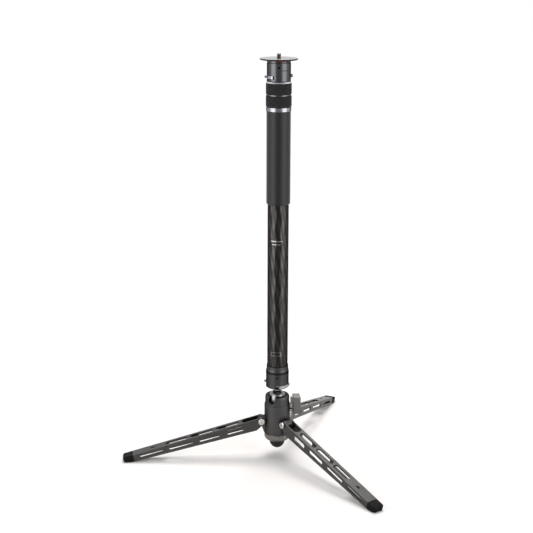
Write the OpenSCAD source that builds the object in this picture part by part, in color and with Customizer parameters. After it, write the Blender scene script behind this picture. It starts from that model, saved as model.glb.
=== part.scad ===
// Camera monopod with a fold-out three-leg base.
// A telescopic carbon column stands on a lockable ball joint, and a turned quick-release
// socket at each end joins it to the base below and to the camera plate above.
// Frame: +Z up, origin on the floor under the column's axis, +Y away from the front.

/* [Base hub] */
// Gap between the rubber tip and the floor with the legs open
foot_clear = 12; // [8:0.5:16]
// Diameter of the rubber tip
foot_d = 24; // [20:0.5:28]
// Height of the rubber tip
foot_h = 14.8; // [13:0.2:20]
// Height of the fluted clamp ring above the tip
foot_ring_h = 13.1; // [11:0.1:16]
// Number of flutes round the clamp ring
foot_ring_flutes = 24; // [16:1:40]
// Thread diameter of the stud that carries the tip
foot_stud_d = 8; // [6:0.5:10]
// Diameter of the hub
hub_d = 40.4; // [39.6:0.1:42]
// Height of the hub
hub_h = 48.1; // [46:0.1:54]

/* [Ball joint] */
// Diameter of the ball
ball_d = 28; // [26:0.2:28.4]
// Height of the ball's centre above the seam under the socket cap
ball_up = 8.3; // [7.8:0.1:9]
// Diameter of the socket cap
cap_d = 38; // [37:0.1:39]
// Height of the socket cap
cap_h = 14.8; // [14.4:0.1:15.4]
// Rounding of the cap's top edge
cap_round = 3.5; // [1:0.5:4]
// Wall of the cup under the ball
cup_wall = 1.44; // [1.2:0.02:1.6]
// Diameter of the stem's neck, which also sets the drop notch
stem_d = 9.6; // [9:0.2:12.4]
// Room beside the neck in the drop notch
notch_gap = 0.5; // [0.4:0.1:1]
// Height of the column's mouth above the ball's centre
mouth_up = 20.2; // [20:0.1:22]
// Thread diameter of the lock screw
lock_screw_d = 5; // [4:0.5:5]
// Height of the lock screw under the cap's seam
lock_down = 3.4; // [3.2:0.1:6]
// Height of the lock knob's wing
knob_h = 29; // [24:0.5:34]
// Thickness of the lock knob's wing
knob_w = 17; // [12:0.5:18]
// Depth of the wing along its axis
knob_depth = 11.3; // [9:0.1:16]
// Length of the shaft and shoulder between the hub and the wing
knob_shoulder = 4.3; // [3:0.1:6]

/* [Legs] */
// Height of the leg pivots above the hub's lower face
pivot_up = 20.2; // [18:0.2:24]
// Radius of the leg pivots
pivot_r = 26; // [25.5:0.1:29]
// Diameter of the pivot bolts
pivot_d = 6; // [5:0.5:6]
// Length of a leg from its pivot to the tip of its foot
leg_len = 226; // [200:1:260]
// Outside width of a leg
leg_w = 18; // [17:0.5:20]
// Thickness of a leg's side plates
plate_t = 2.6; // [1.8:0.1:2.8]
// Thickness of a leg's web
web_t = 2.8; // [1.8:0.1:3.2]
// Height of the web's top above the pivot
web_up = 5.6; // [5.2:0.1:6]
// Height of a leg at its pivot
leg_h = 18.4; // [17:0.2:20]
// Height of a leg at its foot
leg_tip_h = 10.5; // [10:0.5:13]
// Length of the rubber foot cap past the channel
foot_cap_len = 17; // [14:0.5:20]
// How far the foot cap stands proud of the leg
foot_cap_proud = 0.2; // [0.1:0.1:1]
// Thickness of the washers beside the pivot tongue
washer_t = 0.9; // [0.6:0.1:1.2]

/* [Column] */
// Diameter of the outer carbon tube
tube_d = 32; // [31:0.1:33]
// Wall of the outer tube
tube_wall = 1.5; // [1.2:0.1:2]
// Wall of the middle tube
mid_wall = 1.4; // [1.2:0.1:2]
// Wall of the inner tube
inner_wall = 1.3; // [1:0.1:1.6]
// Room between one tube and the next
tube_gap = 0.7; // [0.5:0.05:0.9]
// Length of the outer tube
tube_len = 415.8; // [300:0.1:500]
// Diameter of the foam grip
grip_d = 36; // [35:0.2:40]
// Length of the foam grip
grip_len = 139.6; // [80:0.1:180]
// Height of the bright ring above the grip
grip_ring_h = 7; // [4:0.5:9]
// Diameter of the bright ring above the grip
grip_ring_d = 37.2; // [36.8:0.1:38]
// Diameter of the ribbed twist-lock sleeves
lock_d = 38.2; // [38:0.1:40]
// Height of a twist lock
lock_h = 15.8; // [14:0.2:18]
// Height of the bright ring between the twist locks
mid_trim_h = 1.6; // [1.2:0.2:4]
// Height of the flared ring under the top socket
top_trim_h = 2.4; // [2:0.2:5]
// Height of the dark ring round the tube's lower end
end_ring_h = 6; // [4:0.5:9]

/* [Quick-release sockets] */
// Diameter of the spigots
spigot_d = 16; // [14:0.1:16.4]
// Length of the spigots
spigot_len = 21.8; // [21:0.1:22]
// Diameter of the lower socket
low_qr_d = 35.7; // [35:0.1:37]
// Height of the lower socket
low_qr_h = 23.7; // [23.4:0.1:26]
// Height of the stepped ring above the lower socket
low_trim_h = 6.6; // [6:0.2:9]
// Diameter of the upper socket
top_qr_d = 35.4; // [35:0.1:37]
// Height of the upper socket
top_qr_h = 27.4; // [26.4:0.1:30]
// Height of the lower lever above the socket's mouth
low_lever_up = 1.2; // [1.1:0.1:1.6]
// Height of the upper lever above the socket's mouth
top_lever_up = 4.4; // [3:0.1:5]
// Height of the release levers
lever_h = 4; // [3:0.1:4.6]
// How far the lower lever's tab stands proud
low_tab_proud = 1.65; // [1:0.05:2]
// How far the upper lever's tab stands proud
top_tab_proud = 3.3; // [2:0.1:4]
// Height of the lower button above the socket's mouth
low_button_up = 8.9; // [8.6:0.1:11]
// Height of the upper button above the socket's mouth
top_button_up = 8.1; // [7:0.1:11]
// Diameter of the release buttons
button_d = 5; // [4:0.1:5.4]
// How far the release buttons stand proud
button_proud = 2.8; // [1.5:0.1:3.2]
// Height of the lower grub screw above the socket's mouth
low_grub_up = 19; // [17:0.2:20]
// Height of the upper grub screw above the socket's mouth
top_grub_up = 21; // [17:0.2:21.4]
// Diameter of the grub screws
grub_d = 3.2; // [2.6:0.1:4]

/* [Camera plate] */
// Diameter of the camera plate
plate_d = 56.5; // [50:0.5:62]
// Thickness of the camera plate
plate_h = 2.3; // [2:0.1:5]
// Height of the index ring under the plate
index_h = 3.7; // [3:0.1:6]
// Diameter of the camera screw, a quarter inch
camera_screw_d = 6.35; // [6.35:0.01:9.53]
// Height of the camera screw above the plate
camera_screw_h = 6.6; // [4.5:0.1:8]

/* [Hidden] */
$fn = 96;
overshoot = 1;            // cuts run this far past a face
run_gap = 0.05;           // radial room of a shaft in its hole
seat_gap = 0.05;          // room between two flat seats that part
face_gap = 0.3;           // room between pieces that pass each other
glue_gap = 0.03;          // room in a bonded joint

// Directions round the column, counter-clockwise from +X
leg_angles = [-173.6, -53.6, 66.4];
notch_angle = -119.5;
knob_angle = 6.4;
front_angle = -90;
side_tilt = 20;           // the ball cup leans this far each way
low_lever_turn = [-81, 6];
low_tab_turn = [-10, 5];
low_slot_turn = [-99, 14];
low_button_angle = 180;
top_lever_turn = [172, 238];
top_tab_turn = [174, 190];
top_slot_turn = [166, 251.5];
top_button_angle = 0;
clamp_half_turn = 105;    // the clamp rings are open towards the button
recess_half_turn = 120;

// Heights, from the floor up
z_tip = foot_clear;
z_foot_ring = z_tip + foot_h;
z_hub = z_foot_ring + foot_ring_h;
z_pivot = z_hub + pivot_up;
z_seam = z_hub + hub_h;
z_ball = z_seam + ball_up;
z_lock = z_seam - lock_down;
z_mouth = z_ball + mouth_up;
z_low_qr_top = z_mouth + low_qr_h;
low_groove = 0.7;
z_low_trim = z_low_qr_top + low_groove;
z_tube = z_low_trim + low_trim_h;
z_tube_top = z_tube + tube_len;
tube_in_ferrule = 6.1;    // length of tube inside a twist lock's ferrule
collar_gap = 0.3;         // room above and below the turning collars
z_low_lock = z_tube_top - tube_in_ferrule;
z_grip_ring = z_low_lock - collar_gap - grip_ring_h;
z_grip = z_grip_ring - grip_len;
z_mid_trim = z_low_lock + lock_h + collar_gap;
z_top_lock = z_mid_trim + mid_trim_h + collar_gap;
z_mid_top = z_top_lock + tube_in_ferrule;
z_top_trim = z_top_lock + lock_h + collar_gap;
z_inner_top = z_top_trim + top_trim_h;
z_top_mouth = z_inner_top + seat_gap;
z_index = z_top_mouth + top_qr_h;
z_plate = z_index + index_h;
z_plate_top = z_plate + plate_h;
plug_len = 16;            // length of the socket's plug inside the outer tube
z_plug_top = z_tube + plug_len;
tube_floor_gap = 2;       // room under the inner tubes when the column is closed
z_mid = z_plug_top + tube_floor_gap;
z_inner = z_mid + tube_floor_gap;
shim_h = 30;              // length of the guide shims at the tubes' lower ends

// Radii
hub_r = hub_d / 2;
tube_r = tube_d / 2;
tube_in_r = tube_r - tube_wall;
mid_r = tube_in_r - tube_gap;
mid_in_r = mid_r - mid_wall;
inner_r = mid_in_r - tube_gap;
inner_in_r = inner_r - inner_wall;
ball_r = ball_d / 2;
ball_fit = 0.06;
socket_fit = 0.1;
cup_in_r = ball_r + ball_fit;
cup_r = cup_in_r + cup_wall;
socket_r = cup_r + socket_fit;
cap_seat_r = ball_r + socket_fit;
socket_up = 3.6;          // the cap bears on the ball itself above this height
cup_spare_tilt = 1.2;     // the cup stops short of the cap by this angle
cup_top = cup_r * cos(acos(socket_up / socket_r) + side_tilt + cup_spare_tilt);
cup_floor = 13;           // the cup is open below this depth
stem_r = stem_d / 2;
notch_r = stem_r + notch_gap;
spigot_r = spigot_d / 2;
bore_r = spigot_r + run_gap;
bore_depth = spigot_len + seat_gap;
clamp_gap = 0.4;          // room between an open clamp ring and its spigot
clamp_in_r = spigot_r + clamp_gap;
clamp_r = 13.3;
recess_r = clamp_r + face_gap;
button_r = button_d / 2;
grub_r = grub_d / 2;
lip_r = 17;               // register of the socket cap on the hub
lip_h = 2;
sleeve_t = 1;             // wall of the ribbed sleeves
collar_t = 1.1;           // wall of the turning collars
end_ring_wall = 0.8;      // wall of the ring round the tube's lower end
lock_r = lock_d / 2;
collar_r = lock_r - sleeve_t;
ferrule_r = collar_r - collar_t - run_gap;

// Legs: s runs along a leg from its pivot, h stands square to the web
leg_foot_drop = web_up - leg_h;          // lower edge at the pivot
leg_tip_drop = web_up - leg_tip_h;       // lower edge at the foot
sole_back = 6;            // a point on the flat sole, behind the tip
sole_cut = 0.8;           // and above the lower edge at the tip
sole_s = leg_len - sole_back;
sole_h = leg_tip_drop + sole_cut;
leg_slope = asin(z_pivot / norm([sole_s, sole_h])) + atan2(sole_h, sole_s);
channel_len = leg_len - foot_cap_len;
leg_in_w = leg_w - 2 * plate_t;
washer_gap = 0.2;
tongue_w = leg_in_w - 2 * washer_t - 2 * washer_gap;
tongue_r = 6.2;
web_start = 30;
bolt_head_d = 10.4;
bolt_head_h = 2.8;

// Colours
anodised = [0.16, 0.16, 0.17];
dark_casting = [0.24, 0.23, 0.22];
leg_grey = [0.27, 0.27, 0.28];
knob_grey = [0.45, 0.44, 0.43];
ring_grey = [0.53, 0.52, 0.50];
carbon = [0.12, 0.11, 0.11];
foam = [0.24, 0.24, 0.26];
rubber = [0.07, 0.07, 0.07];
bright = [0.82, 0.82, 0.85];
steel = [0.66, 0.66, 0.66];
nylon = [0.85, 0.84, 0.80];
red = [0.55, 0.10, 0.07];

// A tube between two heights
module tube(r_out, r_in, z0, z1) {
    difference() {
        translate([0, 0, z0]) cylinder(r = r_out, h = z1 - z0);
        translate([0, 0, z0 - overshoot]) cylinder(r = r_in, h = z1 - z0 + 2 * overshoot);
    }
}

// A piece of a tube between two heights and two directions
module arc_tube(r_out, r_in, z0, z1, turn) {
    rotate([0, 0, turn[0]])
        rotate_extrude(angle = turn[1] - turn[0])
            translate([r_in, z0]) square([r_out - r_in, z1 - z0]);
}

// Half outline of a turned piece whose top edge is rounded
module round_top(r, h, round) {
    square([r, h - round]);
    square([r - round, h]);
    translate([r - round, h - round]) circle(round);
}

// Children drawn along +Z are laid along a direction that leaves the column's axis
module radial(angle, z) {
    translate([0, 0, z]) rotate([0, 0, angle]) rotate([0, 90, 0]) children();
}

// Base hub: a turned and milled casting with three pivot tongues
module tongue_outline() {
    gusset_out = 1.5;
    gusset_up = 1;
    difference() {
        union() {
            translate([pivot_r, z_pivot]) circle(tongue_r);
            translate([hub_r / 2, z_pivot - tongue_r])
                square([pivot_r - hub_r / 2, 2 * tongue_r]);
            polygon([
                [hub_r / 2, z_pivot - tongue_r],
                [pivot_r, z_pivot - tongue_r],
                [hub_r + gusset_out, z_hub + gusset_up],
                [hub_r / 2, z_hub + gusset_up]
            ]);
        }
        translate([pivot_r, z_pivot]) circle(pivot_d / 2 + run_gap);
    }
}

module base_hub() {
    stud_depth = 12;
    bottom_chamfer = 0.8;
    color(dark_casting) difference() {
        union() {
            rotate_extrude() polygon([
                [0, z_hub], [hub_r - bottom_chamfer, z_hub], [hub_r, z_hub + bottom_chamfer],
                [hub_r, z_seam - bottom_chamfer], [hub_r - bottom_chamfer, z_seam],
                [lip_r, z_seam], [lip_r, z_seam + lip_h], [0, z_seam + lip_h]
            ]);
            for (a = leg_angles)
                rotate([0, 0, a]) rotate([90, 0, 0])
                    linear_extrude(tongue_w, center = true) tongue_outline();
        }
        translate([0, 0, z_ball]) sphere(socket_r);
        radial(knob_angle, z_lock) cylinder(d = lock_screw_d + 2 * run_gap, h = hub_r + overshoot);
        translate([0, 0, z_hub - overshoot])
            cylinder(d = foot_stud_d + 2 * run_gap, h = stud_depth + overshoot);
    }
}

// Socket cap: bears on the ball above its middle and is cut open for the 90 degree drop
module drop_notch(r) {
    radial(notch_angle, z_ball) cylinder(r = r, h = hub_r + overshoot);
    rotate([0, 0, notch_angle]) translate([0, -r, z_ball])
        cube([hub_r + overshoot, 2 * r, cap_h]);
}

module ball_socket_cap() {
    color(dark_casting) difference() {
        translate([0, 0, z_seam]) rotate_extrude() round_top(cap_d / 2, cap_h, cap_round);
        translate([0, 0, z_ball]) sphere(cap_seat_r);
        intersection() {
            translate([0, 0, z_ball]) sphere(socket_r);
            translate([0, 0, z_seam - overshoot])
                cylinder(r = hub_r, h = ball_up + socket_up + overshoot);
        }
        translate([0, 0, z_seam - overshoot])
            cylinder(r = lip_r + run_gap, h = lip_h + seat_gap + overshoot);
        drop_notch(notch_r);
    }
}

// Ball cup: a nylon bowl that the lock screw presses against the ball
module ball_seat() {
    cup_notch_in = 0.2;
    color(nylon) difference() {
        intersection() {
            translate([0, 0, z_ball]) sphere(cup_r);
            translate([0, 0, z_ball - cup_floor]) cylinder(r = hub_r, h = cup_floor + cup_top);
        }
        translate([0, 0, z_ball]) sphere(cup_in_r);
        drop_notch(notch_r - cup_notch_in);
    }
}

// Ball: polished, flat on top, with the bore that the stem's pin turns in
stem_pin_r = 4;
stem_pin_down = 2;
neck_up = sqrt(pow(ball_r, 2) - pow(stem_r, 2));

module ball() {
    color(steel) difference() {
        translate([0, 0, z_ball]) sphere(ball_r);
        translate([0, 0, z_ball + neck_up]) cylinder(r = ball_r, h = ball_r);
        translate([0, 0, z_ball - stem_pin_down]) cylinder(r = stem_pin_r + run_gap, h = 2 * ball_r);
    }
}

// Stem: pin in the ball, neck, thin flange and the spigot that the column drops on
flange_h = 1;
flange_r = 8.2;
spigot_tip = 1.2;
groove_deep = 0.8;
groove_h = 4;

module spigot_profile(z, lever_up) {
    groove_z = z + lever_up;
    polygon([
        [0, z], [spigot_r, z], [spigot_r, groove_z],
        [spigot_r - groove_deep, groove_z + groove_deep],
        [spigot_r - groove_deep, groove_z + groove_h - groove_deep],
        [spigot_r, groove_z + groove_h], [spigot_r, z + spigot_len - spigot_tip],
        [spigot_r - spigot_tip, z + spigot_len], [0, z + spigot_len]
    ]);
}

module ball_stem() {
    neck_z = z_ball + neck_up + face_gap;
    flange_z = z_mouth - flange_h;
    color(bright) rotate_extrude() {
        translate([0, z_ball - stem_pin_down + seat_gap])
            square([stem_pin_r, neck_z - z_ball + stem_pin_down + overshoot]);
        translate([0, neck_z]) square([stem_r, z_mouth - neck_z]);
        translate([0, flange_z]) square([flange_r, flange_h]);
        translate([0, flange_z]) square([stem_r, 2 * flange_h]);
        spigot_profile(z_mouth, low_lever_up);
    }
}

// Lock knob: a block-shaped wing on a screw whose tip presses the ball cup. A shoulder on its
// front upper quarter fills the space between the wing and the hub.
lock_tip_len = 1.5;
lock_tip_gap = 0.2;
lock_tip_r0 = sqrt(pow(cup_r, 2) - pow(z_ball - z_lock - lock_screw_d / 2, 2)) + lock_tip_gap;
knob_gap = 0.6;
knob_r0 = hub_r + knob_gap;
wing_r0 = knob_r0 + knob_shoulder;
wing_edge = 1.2;
wing_screw_in = 8;

module wing_face() {
    for (x = [-1, 1], y = [-1, 1])
        translate([x * (knob_h / 2 - wing_edge), y * (knob_w / 2 - wing_edge)]) circle(wing_edge);
    square([knob_h, knob_w - 2 * wing_edge], center = true);
    square([knob_h - 2 * wing_edge, knob_w], center = true);
}

module wing_side() {
    translate([-knob_h / 2, 0]) square([knob_h, knob_depth - wing_edge]);
    translate([-knob_h / 2 + wing_edge, 0]) square([knob_h - 2 * wing_edge, knob_depth]);
    for (x = [-1, 1])
        translate([x * (knob_h / 2 - wing_edge), knob_depth - wing_edge]) circle(wing_edge);
}

module lock_knob() {
    shoulder_up = 4.2;
    shoulder_w = 6.7;
    color(knob_grey) radial(knob_angle, z_lock) difference() {
        union() {
            translate([0, 0, wing_r0]) intersection() {
                linear_extrude(knob_depth) wing_face();
                rotate([90, 0, 0]) linear_extrude(knob_w + overshoot, center = true) wing_side();
            }
            translate([-knob_h / 2 + wing_edge, -knob_w / 2 + wing_edge, knob_r0])
                cube([knob_h / 2 - wing_edge - shoulder_up, shoulder_w, knob_shoulder + overshoot]);
        }
        translate([0, 0, wing_r0 - overshoot]) cylinder(d = lock_screw_d, h = wing_screw_in + overshoot);
    }
}

module lock_knob_screw() {
    screw_r0 = lock_tip_r0 + lock_tip_len;
    collar_d = 7.2;
    collar_r0 = knob_r0 - lock_tip_gap;
    color(steel) radial(knob_angle, z_lock) {
        translate([0, 0, screw_r0]) cylinder(d = lock_screw_d, h = wing_r0 + wing_screw_in - screw_r0);
        translate([0, 0, collar_r0]) cylinder(d = collar_d, h = wing_r0 - seat_gap - collar_r0);
    }
}

module lock_knob_tip() {
    color(nylon) radial(knob_angle, z_lock) translate([0, 0, lock_tip_r0])
        cylinder(d = lock_screw_d - 2 * lock_tip_gap, h = lock_tip_len);
}

// Foot: rubber dome held by the fluted, bowl-shaped ring on a stud in the hub
foot_ring_proud = 0.2;
foot_bowl = 6.9;
foot_seam_h = 1.4;
foot_seam_deep = 1.5;

module foot_ring_outline() {
    ring_r = hub_r + foot_ring_proud;
    bowl_top = z_foot_ring + foot_bowl;
    difference() {
        union() {
            translate([0, bowl_top]) square([ring_r, z_hub - foot_seam_h - bowl_top]);
            translate([0, z_foot_ring]) square([ring_r - foot_bowl, foot_bowl]);
            intersection() {
                translate([ring_r - foot_bowl, bowl_top]) circle(foot_bowl);
                square([ring_r, bowl_top]);
            }
            translate([0, bowl_top]) square([hub_r - foot_seam_deep, z_hub - bowl_top]);
        }
        translate([0, z_foot_ring - overshoot])
            square([foot_stud_d / 2 + run_gap, foot_ring_h + 2 * overshoot]);
    }
}

module foot_ring() {
    flute_r = 1.3;
    flute_out = 0.75;
    color(ring_grey) difference() {
        rotate_extrude() foot_ring_outline();
        for (i = [0:foot_ring_flutes - 1])
            rotate([0, 0, 360 * i / foot_ring_flutes])
                translate([hub_r + foot_ring_proud + flute_out, 0, z_foot_ring - overshoot])
                    cylinder(r = flute_r, h = foot_ring_h - foot_seam_h + overshoot + foot_seam_h / 2);
    }
}

module rubber_foot() {
    dome_r = foot_d / 2;
    stud_depth = 9;
    color(rubber) difference() {
        union() {
            translate([0, 0, z_tip + dome_r]) sphere(dome_r);
            translate([0, 0, z_tip + dome_r]) cylinder(r = dome_r, h = foot_h - dome_r);
        }
        translate([0, 0, z_foot_ring]) cylinder(r = hub_r, h = foot_d);
        translate([0, 0, z_foot_ring - stud_depth])
            cylinder(d = foot_stud_d + 2 * run_gap, h = stud_depth + overshoot);
    }
}

module foot_stud() {
    stud_down = 8.5;
    stud_up = 11.5;
    color(steel) translate([0, 0, z_foot_ring - stud_down])
        cylinder(d = foot_stud_d, h = stud_down + foot_ring_h + stud_up);
}

// Legs: pressed channels, web on top, pierced for lightness
module place_leg(angle) {
    rotate([0, 0, angle]) translate([pivot_r, 0, z_pivot]) rotate([0, leg_slope, 0]) children();
}

module slot_outline(s0, s1, w, corner) {
    for (s = [s0 + corner, s1 - corner], side = [-1, 1])
        translate([s, side * (w / 2 - corner)]) circle(corner);
    translate([s0, corner - w / 2]) square([s1 - s0, w - 2 * corner]);
    translate([s0 + corner, -w / 2]) square([s1 - s0 - 2 * corner, w]);
}

module round_slot(s0, s1, w) {
    for (s = [s0 + w / 2, s1 - w / 2]) translate([s, 0]) circle(w / 2);
    translate([s0 + w / 2, -w / 2]) square([s1 - s0 - w, w]);
}

leg_heel = web_up;                       // round heel behind the pivot
heel_run = 11;
heel_drop = 0.75 * leg_heel;

function lower_edge(s) = leg_foot_drop + (leg_tip_drop - leg_foot_drop) * s / leg_len;

module leg_side_outline() {
    circle(leg_heel);
    polygon([
        [0, web_up], [channel_len, web_up], [channel_len, lower_edge(channel_len)],
        [heel_run, lower_edge(heel_run)], [-leg_heel, -heel_drop], [-leg_heel, 0]
    ]);
}

// Slots in the side plates and in the web, as shares of the channel's length
side_slots = [[0.145, 0.275], [0.33, 0.49], [0.54, 0.725], [0.772, 0.952]];
web_slots = [[0.165, 0.35], [0.368, 0.555], [0.572, 0.745]];
side_slot_above = 4.6;    // metal left under a side slot
side_slot_below = 4.2;    // and over it
side_slot_corner = 2.4;
least_flat = 0.6;         // straight part at a slot's end, or else the end is round
web_slot_w = 9;
web_hole_at = 0.843;
web_hole_len = 7.5;
web_hole_w = 3.6;

module side_slot(span) {
    s0 = span[0] * channel_len;
    s1 = span[1] * channel_len;
    low = lower_edge((s0 + s1) / 2) + side_slot_above;
    high = web_up - side_slot_below;
    translate([0, (low + high) / 2])
        if (high - low > 2 * side_slot_corner + least_flat) slot_outline(s0, s1, high - low, side_slot_corner);
        else round_slot(s0, s1, high - low);
}

module web_outline() {
    hollow_over = 0.7;
    hollow_r = (leg_in_w + plate_t) / 2 + hollow_over;
    difference() {
        translate([web_start - hollow_r, -(leg_in_w + plate_t) / 2])
            square([channel_len - web_start + hollow_r, leg_in_w + plate_t]);
        translate([web_start - hollow_r, 0]) circle(hollow_r);
        for (span = web_slots)
            round_slot(span[0] * channel_len, span[1] * channel_len, web_slot_w);
        round_slot(web_hole_at * channel_len - web_hole_len / 2,
            web_hole_at * channel_len + web_hole_len / 2, web_hole_w);
    }
}

module leg_channel() {
    translate([0, 0, web_up - web_t]) linear_extrude(web_t) web_outline();
    for (side = [0, 1])
        mirror([0, side, 0]) translate([0, leg_w / 2, 0]) rotate([90, 0, 0])
            linear_extrude(plate_t) difference() {
                leg_side_outline();
                circle(pivot_d / 2 + run_gap);
                for (span = side_slots) side_slot(span);
            }
}

module leg(i) {
    color(leg_grey) place_leg(leg_angles[i]) leg_channel();
}

// Rubber foot caps: they carry on the channel's outline, plug its end and are cut flat on the floor
foot_cap_w = leg_w + 2 * foot_cap_proud;
foot_cap_top = web_up + foot_cap_proud;

module foot_cap_side() {
    corner = 3;
    polygon([
        [channel_len, lower_edge(channel_len) - foot_cap_proud],
        [leg_len, lower_edge(leg_len) - foot_cap_proud], [leg_len, foot_cap_top - corner],
        [leg_len - corner, foot_cap_top - corner], [leg_len - corner, foot_cap_top],
        [channel_len, foot_cap_top]
    ]);
    translate([leg_len - corner, foot_cap_top - corner]) circle(corner);
}

module foot_cap_plan() {
    corner = 4;
    translate([channel_len, -foot_cap_w / 2]) square([foot_cap_len - corner, foot_cap_w]);
    translate([channel_len, corner - foot_cap_w / 2]) square([foot_cap_len, foot_cap_w - 2 * corner]);
    for (side = [-1, 1])
        translate([leg_len - corner, side * (foot_cap_w / 2 - corner)]) circle(corner);
}

module leg_foot_cap(i) {
    tail_len = 9;
    tail_h = 5;
    tail_z = web_up - web_t - run_gap - tail_h;
    floor_cut = 4 * leg_len;
    color(rubber) difference() {
        place_leg(leg_angles[i]) {
            intersection() {
                rotate([90, 0, 0]) linear_extrude(foot_cap_w + overshoot, center = true) foot_cap_side();
                translate([0, 0, -leg_h]) linear_extrude(2 * leg_h) foot_cap_plan();
            }
            translate([channel_len - tail_len, run_gap - leg_in_w / 2, tail_z])
                cube([tail_len + overshoot, leg_in_w - 2 * run_gap, tail_h]);
        }
        translate([-floor_cut / 2, -floor_cut / 2, -floor_cut]) cube(floor_cut);
    }
}

// Pivots: a shouldered bolt and its cap nut through each tongue, with washers beside it
module place_pivot(angle) {
    rotate([0, 0, angle]) translate([pivot_r, 0, z_pivot]) rotate([90, 0, 0]) children();
}

module pan_head(h) {
    rotate_extrude() round_top(bolt_head_d / 2, h, h / 2);
}

bolt_seat = leg_w / 2 + washer_gap;
nut_socket = 1.4;

module leg_pivot_bolts() {
    color(steel) for (a = leg_angles) place_pivot(a) {
        translate([0, 0, bolt_seat]) pan_head(bolt_head_h);
        translate([0, 0, -bolt_seat - nut_socket])
            cylinder(d = pivot_d, h = 2 * bolt_seat + nut_socket + overshoot / 2);
    }
}

module leg_pivot_nuts() {
    color(steel) for (a = leg_angles) place_pivot(a) mirror([0, 0, 1])
        translate([0, 0, bolt_seat]) difference() {
            pan_head(bolt_head_h);
            translate([0, 0, -overshoot])
                cylinder(d = pivot_d + 2 * run_gap, h = nut_socket + seat_gap + overshoot);
        }
}

module leg_pivot_washers() {
    washer_d = 11;
    color(nylon) for (a = leg_angles, side = [0, 1]) place_pivot(a) mirror([0, 0, side])
        tube(washer_d / 2, pivot_d / 2 + run_gap, tongue_w / 2, tongue_w / 2 + washer_t);
}

// Quick-release sockets: one form for both ends of the column
slot_gap = 0.3;
spring_wall = 1.2;
spring_seat = spigot_r + spring_wall;

module socket_cuts(z, r, lever_up, slot_turn, button_angle, button_up, grub_up) {
    lever_z = z + lever_up;
    translate([0, 0, z - overshoot]) cylinder(r = bore_r, h = bore_depth + overshoot);
    arc_tube(recess_r, spigot_r / 2, z - overshoot, lever_z + lever_h + slot_gap,
        [button_angle + 180 - recess_half_turn, button_angle + 180 + recess_half_turn]);
    arc_tube(r + overshoot, recess_r - overshoot, lever_z - slot_gap, lever_z + lever_h + slot_gap,
        slot_turn);
    radial(button_angle, z + button_up) {
        translate([0, 0, spring_seat]) cylinder(r = button_r + run_gap, h = r);
        cylinder(r = button_stem_r + run_gap, h = r);
    }
    radial(front_angle, z + grub_up) translate([0, 0, spigot_r / 2])
        cylinder(r = grub_r + run_gap, h = r);
}

module release_lever(z, r, lever_up, lever_turn, tab_turn, tab_proud) {
    lever_z = z + lever_up;
    tab_down = 0.7;
    tab_r0 = (r + clamp_r) / 2;
    lever_in = 0.1;
    arc_tube(r - lever_in, clamp_r + glue_gap, lever_z, lever_z + lever_h, lever_turn);
    arc_tube(r + tab_proud, tab_r0, lever_z + tab_down, lever_z + lever_h - tab_down / 2, tab_turn);
}

module clamp_ring(z, lever_up, button_angle) {
    arc_tube(clamp_r, clamp_in_r, z + lever_up, z + lever_up + lever_h,
        [button_angle + 180 - clamp_half_turn, button_angle + 180 + clamp_half_turn]);
}

module retaining_ring(z, lever_up, button_angle) {
    clip_half_turn = recess_half_turn - 2;
    clip_gap = 0.1;
    arc_tube(recess_r - run_gap, clamp_in_r, z + clip_gap, z + lever_up - 2 * clip_gap,
        [button_angle + 180 - clip_half_turn, button_angle + 180 + clip_half_turn]);
}

button_stem_r = 1.1;
button_in = 3.4;

module release_button(z, r, button_angle, button_up) {
    stem_rest = 0.2;
    stem_r0 = spring_seat + stem_rest;
    dome = 0.9;
    radial(button_angle, z + button_up) {
        translate([0, 0, stem_r0]) cylinder(r = button_stem_r, h = r - button_in - stem_r0 + overshoot);
        translate([0, 0, r - button_in]) rotate_extrude()
            round_top(button_r, button_in + button_proud, dome);
    }
}

module button_spring(z, r, button_angle, button_up) {
    spring_r0 = spring_seat + seat_gap;
    spring_len = r - button_in - spring_r0 - 2 * seat_gap;
    wire_w = 0.5;
    coil_r = (button_stem_r + button_r) / 2;
    turns = 4;
    radial(button_angle, z + button_up) translate([0, 0, spring_r0])
        linear_extrude(spring_len, twist = -360 * turns, slices = 12 * turns, $fn = 24)
            intersection() {
                difference() {
                    circle(coil_r + wire_w / 2);
                    circle(coil_r - wire_w / 2);
                }
                translate([-button_r, 0]) square([2 * button_r, button_r]);
            }
}

module grub_screw(z, r, grub_up) {
    grub_in = 1.8;
    grub_clear = 1.4;         // left between the screw's end and the spigot
    grub_end = spigot_r + grub_clear;
    radial(front_angle, z + grub_up) translate([0, 0, grub_end])
        cylinder(r = grub_r, h = r - grub_in - grub_end);
}

// Lower socket, bonded into the outer tube
mouth_chamfer = 0.6;

module lower_qr_body() {
    r = low_qr_d / 2;
    plug_r = tube_in_r - glue_gap;
    color(anodised) difference() {
        rotate_extrude() polygon([
            [0, z_mouth], [r - mouth_chamfer, z_mouth], [r, z_mouth + mouth_chamfer],
            [r, z_low_qr_top], [r - low_groove, z_low_qr_top], [r - low_groove, z_low_trim],
            [plug_r, z_low_trim], [plug_r, z_plug_top], [0, z_plug_top]
        ]);
        socket_cuts(z_mouth, r, low_lever_up, low_slot_turn, low_button_angle, low_button_up, low_grub_up);
    }
}

module lower_qr_lever() {
    color(bright)
        release_lever(z_mouth, low_qr_d / 2, low_lever_up, low_lever_turn, low_tab_turn, low_tab_proud);
}

module lower_clamp_ring() {
    color(steel) clamp_ring(z_mouth, low_lever_up, low_button_angle);
}

module lower_retaining_ring() {
    color(steel) retaining_ring(z_mouth, low_lever_up, low_button_angle);
}

module lower_qr_button() {
    color(anodised) release_button(z_mouth, low_qr_d / 2, low_button_angle, low_button_up);
}

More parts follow.
